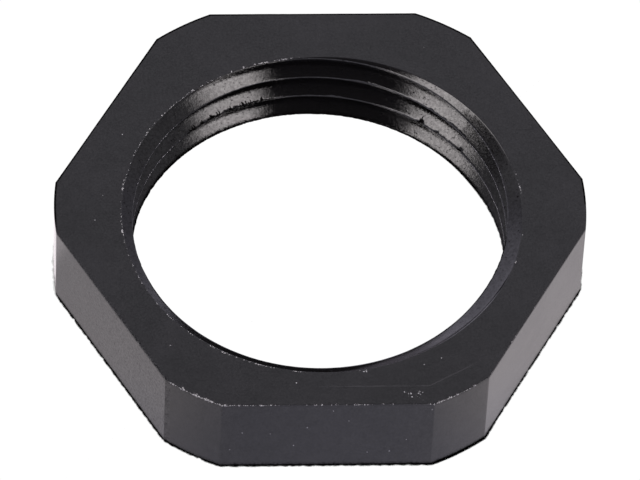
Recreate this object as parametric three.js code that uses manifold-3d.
// Locknut for a metric cable gland, M20 x 1.5, black polyamide.
// One moulded piece: a flat hexagon whose six corners are turned down to a
// cylinder, with a right-hand thread through the middle.
// Units are millimetres. The thread axis is +Z. The origin is the centre of the
// lower face, which is the face that bears on the panel.

import * as THREE from 'three';
import { mergeVertices } from 'three/addons/utils/BufferGeometryUtils.js';
import Module from 'manifold-3d';

// ---- driving dimensions -------------------------------------------------
const ACROSS_FLATS = 24.0;      // spanner size, measured along Y
const HEIGHT = 5.0;             // face to face
const CORNER_DIAMETER = 26.1;   // cylinder that truncates the six corners
const PITCH = 1.5;              // climb of the thread in one turn
const MINOR_DIAMETER = 18.38;   // over the thread crests
const MAJOR_DIAMETER = 20.1;    // over the thread roots
const CREST_FLAT = 0.10;        // width of the land left on each crest
const FLANK_ANGLE = 30;         // degrees, each flank, from the plane square to the axis
const LEAD_IN = 0.25;           // 45 degree lead-in at the lower face only
const THREAD_START = 102;       // azimuth, degrees, where a crest runs out through the top face

// ---- cutters and facets ---------------------------------------------------
const BORE_OVERSHOOT = 1;       // how far the bore cutter passes each face
const THREAD_EXTRA = 3;         // least climb of the groove cutter beyond HEIGHT
const GROOVE_OVERLAP = 0.06;    // how far the groove cutter reaches into the bore
const DIVISIONS = 72;           // facets in one turn
const CORNER_STEPS = 6;         // facets in each corner arc
const MERGE_TOLERANCE = 1e-4;   // vertices closer than this become one

const MINOR_RADIUS = MINOR_DIAMETER / 2;
const MAJOR_RADIUS = MAJOR_DIAMETER / 2;

// ---- helpers ------------------------------------------------------------
const { degToRad } = THREE.MathUtils;
const wasm = await Module();
wasm.setup();

// Normals and uvs are dropped so that vertices merge by position alone.
function toSolid(geometry) {
  geometry.deleteAttribute('normal');
  geometry.deleteAttribute('uv');
  const merged = mergeVertices(geometry, MERGE_TOLERANCE);
  return new wasm.Manifold(new wasm.Mesh({
    numProp: 3,
    vertProperties: new Float32Array(merged.attributes.position.array),
    triVerts: new Uint32Array(merged.index.array),
  }));
}

function toGeometry(solid) {
  const mesh = solid.getMesh();
  const geometry = new THREE.BufferGeometry();
  const positions = new Float32Array(mesh.vertProperties);
  geometry.setAttribute('position', new THREE.BufferAttribute(positions, 3));
  geometry.setIndex(new THREE.BufferAttribute(new Uint32Array(mesh.triVerts), 1));
  geometry.computeVertexNormals();
  return geometry;
}

const toPoints = (pairs) => pairs.map(([x, y]) => new THREE.Vector2(x, y));

// ---- blank: hexagon with its corners turned to a cylinder ----------------
// Flats face 30, 90, 150 ... degrees, so two of them are square to Y.
function makeBlank() {
  const apothem = ACROSS_FLATS / 2;
  const cornerRadius = CORNER_DIAMETER / 2;
  const halfFlat = Math.acos(apothem / cornerRadius);   // angle from a flat's middle to its end

  const corners = [];
  for (let i = 0; i < 6; i++) {
    const from = degToRad(30 + 60 * i) + halfFlat;
    const to = degToRad(90 + 60 * i) - halfFlat;
    for (let s = 0; s <= CORNER_STEPS; s++) {
      const angle = from + (to - from) * s / CORNER_STEPS;
      corners.push([cornerRadius * Math.cos(angle), cornerRadius * Math.sin(angle)]);
    }
  }
  const outline = new THREE.Shape(toPoints(corners));
  outline.closePath();
  return toSolid(new THREE.ExtrudeGeometry(outline, {
    depth: HEIGHT, steps: 1, bevelEnabled: false,
  }));
}

// ---- bore: minor diameter with the lead-in cone at the lower face --------
function makeBore() {
  const bottom = -BORE_OVERSHOOT;
  const top = HEIGHT + BORE_OVERSHOOT;
  const profile = toPoints([   // radius, height
    [0, bottom],
    [MINOR_RADIUS + LEAD_IN + BORE_OVERSHOOT, bottom],
    [MINOR_RADIUS, LEAD_IN],
    [MINOR_RADIUS, top],
    [0, top],
  ]);
  return toSolid(new THREE.LatheGeometry(profile, DIVISIONS).rotateX(Math.PI / 2));
}

// ---- thread groove --------------------------------------------------------
// The section is extruded straight, then wound round the axis: the third
// coordinate becomes the angle, and the section climbs one pitch in each turn.
function makeGroove() {
  const slope = Math.tan(degToRad(FLANK_ANGLE));
  const mouth = PITCH - CREST_FLAT;                                // width at the minor diameter
  const root = mouth - 2 * (MAJOR_RADIUS - MINOR_RADIUS) * slope;  // width at the major diameter
  const innerHalf = mouth / 2 + GROOVE_OVERLAP * slope;
  const innerRadius = MINOR_RADIUS - GROOVE_OVERLAP;
  const section = new THREE.Shape(toPoints([   // along the axis, away from it
    [-innerHalf, innerRadius],
    [innerHalf, innerRadius],
    [root / 2, MAJOR_RADIUS],
    [-root / 2, MAJOR_RADIUS],
  ]));

  const turns = Math.ceil((HEIGHT + THREAD_EXTRA) / PITCH);
  const steps = turns * DIVISIONS;
  const geometry = new THREE.ExtrudeGeometry(section, { depth: 1, steps, bevelEnabled: false });
  const { position } = geometry.attributes;
  for (let i = 0; i < position.count; i++) {
    const along = position.getX(i);
    const radius = position.getY(i);
    const turn = Math.round(position.getZ(i) * steps) / DIVISIONS;   // 0 ... turns
    const angle = turn * 2 * Math.PI;
    // The groove's middle lies half a pitch from the crest that reaches the
    // top face at THREAD_START.
    const z = HEIGHT + PITCH * (turn - THREAD_START / 360 - turns + 1.5) + along;
    position.setXYZ(i, radius * Math.cos(angle), radius * Math.sin(angle), z);
  }
  return toSolid(geometry);
}

// ---- scene graph ------------------------------------------------------------
const polyamide = new THREE.MeshStandardMaterial({
  color: 0x323234, roughness: 0.5, metalness: 0.0,
});
const nut = makeBlank().subtract(makeBore()).subtract(makeGroove());
const locknut = new THREE.Mesh(toGeometry(nut), polyamide);
locknut.name = 'locknut';

const glandLocknut = new THREE.Group();
glandLocknut.add(locknut);

export default glandLocknut;
